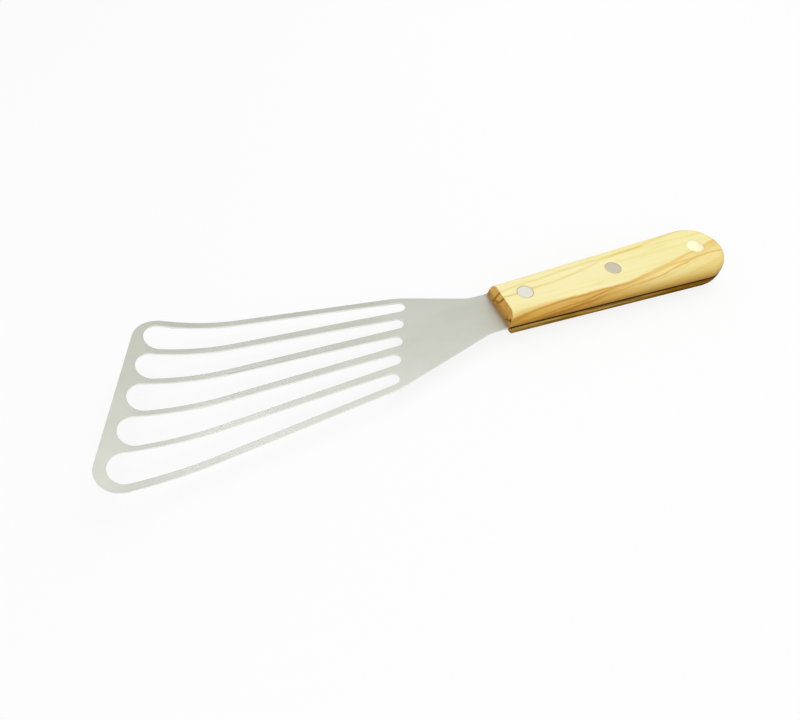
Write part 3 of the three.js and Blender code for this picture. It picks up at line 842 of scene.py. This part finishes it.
def dark_olive_wood(fibres, end_grain, rivet_rings):
    """The lower scale's wood, darker than the upper partly by its own tone and partly as painted shade under the
    handle, darkest further down, with brown stripes along the grain.
    """
    material, tree, shader, position = new_material("olive_wood_lower")
    grain, cut, ring = wood_masks(tree, position, fibres, end_grain, rivet_rings)
    along, _, up = separate(tree, position)
    # Darker further down: partly the wood's own tone, partly painted shade under the handle.
    low_down_shaded = ease_between(tree, up, LOWER_HIGH.z - 0.8 * MM, LOWER_HIGH.z - 3.4 * MM)
    wood = mix_colours(
        tree, low_down_shaded, tint_along(tree, along, BESIDE_SEAM_TINTS), tint_along(tree, along, UNDERNEATH_SHADED_TINTS))
    wood = mix_colours(tree, maths(tree, "MULTIPLY", grain["Streaks"], 0.4), wood, colour(124, 84, 18))
    stripes = cloud(tree, stretched(tree, position, 30, 0.9, (6, 2, 9)), 3.0)
    wood = mix_colours(tree, ease_between(tree, stripes, 0.48, 0.60, 0.0, 0.55), wood, colour(92, 56, 10))
    wood = mix_colours(tree, maths(tree, "MULTIPLY", grain["Lines"], 0.7), wood, colour(84, 50, 10))
    seam_line = ease_between(tree, up, LOWER_HIGH.z - 0.5 * MM, LOWER_HIGH.z - 0.1 * MM, 0.0, 0.5)
    wood = mix_colours(tree, seam_line, wood, colour(86, 54, 14))
    wood = mix_colours(tree, maths(tree, "MULTIPLY", cut["Butt"], 0.6), wood, colour(98, 66, 20))
    wood = mix_colours(tree, cut["Front"], wood, colour(196, 150, 66))
    wood = mix_colours(tree, cut["Bore"], wood, BORE_TINT_PAINTED_LIGHT)
    finish_wood(tree, shader, wood, grain, ring, sheen=0.0)
    return material


# Studio

def background_rays(tree):
    """1 for a ray that shows the background: the camera's own, a reflection's or one through glass."""
    path = tree.nodes.new("ShaderNodeLightPath").outputs
    seen = maths(tree, "MAXIMUM", path["Is Camera Ray"], path["Is Glossy Ray"])
    return maths(tree, "MAXIMUM", seen, path["Is Transmission Ray"])


def studio_floor():
    """A pale floor that looks nearly white and keeps a soft shadow of the object."""
    bpy.ops.object.select_all(action="DESELECT")
    bpy.ops.mesh.primitive_plane_add(size=FLOOR_SIZE, location=(0, 0, FLOOR_HEIGHT))
    floor = bpy.context.object
    floor.name = "floor"
    material, tree, shader, _ = new_material("pale_floor")
    shader.inputs["Base Color"].default_value = FLOOR_TINT
    shader.inputs["Roughness"].default_value = 0.9
    shader.inputs["Specular IOR Level"].default_value = 0.0
    white = new_node(tree, "ShaderNodeEmission", {"Color": (1, 1, 1, 1), "Strength": 1.0})
    share = maths(tree, "MULTIPLY", background_rays(tree), FLOOR_WHITE_SHARE)
    mixed = new_node(tree, "ShaderNodeMixShader", {0: share, 1: shader.outputs[0], 2: white.outputs[0]})
    tree.links.new(mixed.outputs[0], tree.nodes["Material Output"].inputs["Surface"])
    floor.data.materials.append(material)


def studio_world():
    """Even white light, and a white backdrop where the camera or a reflection looks past the floor."""
    world = bpy.data.worlds.new("studio")
    bpy.context.scene.world = world
    world.use_nodes = True
    tree = world.node_tree
    tree.nodes.clear()
    backdrop = new_node(tree, "ShaderNodeBackground", {"Color": (1, 1, 1, 1), "Strength": 1.0})
    fill = new_node(tree, "ShaderNodeBackground", {"Color": (1, 1, 1, 1), "Strength": WORLD_FILL})
    mixed = new_node(tree, "ShaderNodeMixShader", {
        0: background_rays(tree), 1: fill.outputs[0], 2: backdrop.outputs[0]})
    output = tree.nodes.new("ShaderNodeOutputWorld")
    tree.links.new(mixed.outputs[0], output.inputs["Surface"])


def soft_lamp(name, place_at, aim_at, size, watts, on_matt=False, on_gloss=False, tint=(1.0, 1.0, 1.0)):
    """A round soft lamp, lighting matt surfaces, showing in glossy ones, or both."""
    data = bpy.data.lights.new(name, "AREA")
    data.shape = "DISK"
    data.size = size
    data.energy = watts
    data.color = tint
    lamp = bpy.data.objects.new(name, data)
    lamp.location = place_at
    lamp.rotation_mode = "QUATERNION"
    lamp.rotation_quaternion = (Vector(aim_at) - Vector(place_at)).to_track_quat("-Z", "Y")
    lamp.visible_camera = False
    lamp.visible_diffuse = on_matt
    lamp.visible_glossy = on_gloss
    bpy.context.scene.collection.objects.link(lamp)


def photo_camera():
    data = bpy.data.cameras.new("camera")
    data.sensor_width = CAMERA_SENSOR_MM
    data.lens = CAMERA_LENS_MM
    data.clip_start = CAMERA_NEAR
    camera = bpy.data.objects.new("camera", data)
    camera.location = CAMERA_PLACE
    camera.rotation_mode = "QUATERNION"
    level = (CAMERA_AIM - CAMERA_PLACE).to_track_quat("-Z", "Y")
    camera.rotation_quaternion = level @ Quaternion((0, 0, 1), CAMERA_ROLL)
    bpy.context.scene.collection.objects.link(camera)
    bpy.context.scene.camera = camera


photo_camera()

fibres = fibre_group()
end_grain = end_grain_group()
rivet_rings = rivet_ring_group()
metal = ground_metal_group()
blade_sheet(satin_steel(metal))
wooden_scale("upper_scale", "upper_wooden_scale", olive_wood(fibres, end_grain, rivet_rings))
wooden_scale("lower_scale", "lower_wooden_scale", dark_olive_wood(fibres, end_grain, rivet_rings))
# Each rivet's metal takes its tint; the rear one is darker as painted shade.
for end, tint in RIVET_TINTS_LIT_AND_SHADED.items():
    finish = rivet_metal(f"{end}_rivet_metal", tint, metal)
    rivet_pin(f"{end}_rivet_pin", f"{end}_rivet_upper_half", finish)
    rivet_sleeve(f"{end}_rivet_sleeve", f"{end}_rivet_pin", f"{end}_rivet_lower_half", finish)

studio_floor()
studio_world()
soft_lamp("key", place_at=(-0.30, -0.30, 0.85), aim_at=HANDLE_FRONT_SPOT, size=1.0, watts=4.6, on_matt=True)
soft_lamp("near_fill", place_at=(0.24, 0.57, 0.45), aim_at=HANDLE_FRONT_SPOT, size=0.6, watts=1.5, on_matt=True)
soft_lamp(
    "sheen", place_at=(0.046, -0.012, 0.219), aim_at=BLADE_SPOT, size=0.310, watts=0.200, on_gloss=True,
    tint=(0.90, 0.90, 1.0))
soft_lamp(
    "glint", place_at=(0.213, -0.259, 0.427), aim_at=BLADE_SPOT, size=0.104, watts=0.179, on_gloss=True,
    tint=(0.78, 0.76, 1.0))
hole_mouth = Vector((HANG_HOLE_PLACE, 0, FLOOR_HEIGHT + 0.5 * MM))
soft_lamp(
    "under_hang_hole", place_at=hole_mouth, aim_at=hole_mouth + Vector((0, 0, 1)), size=0.007, watts=0.0006,
    on_matt=True)
bpy.context.scene.view_settings.view_transform = "Standard"
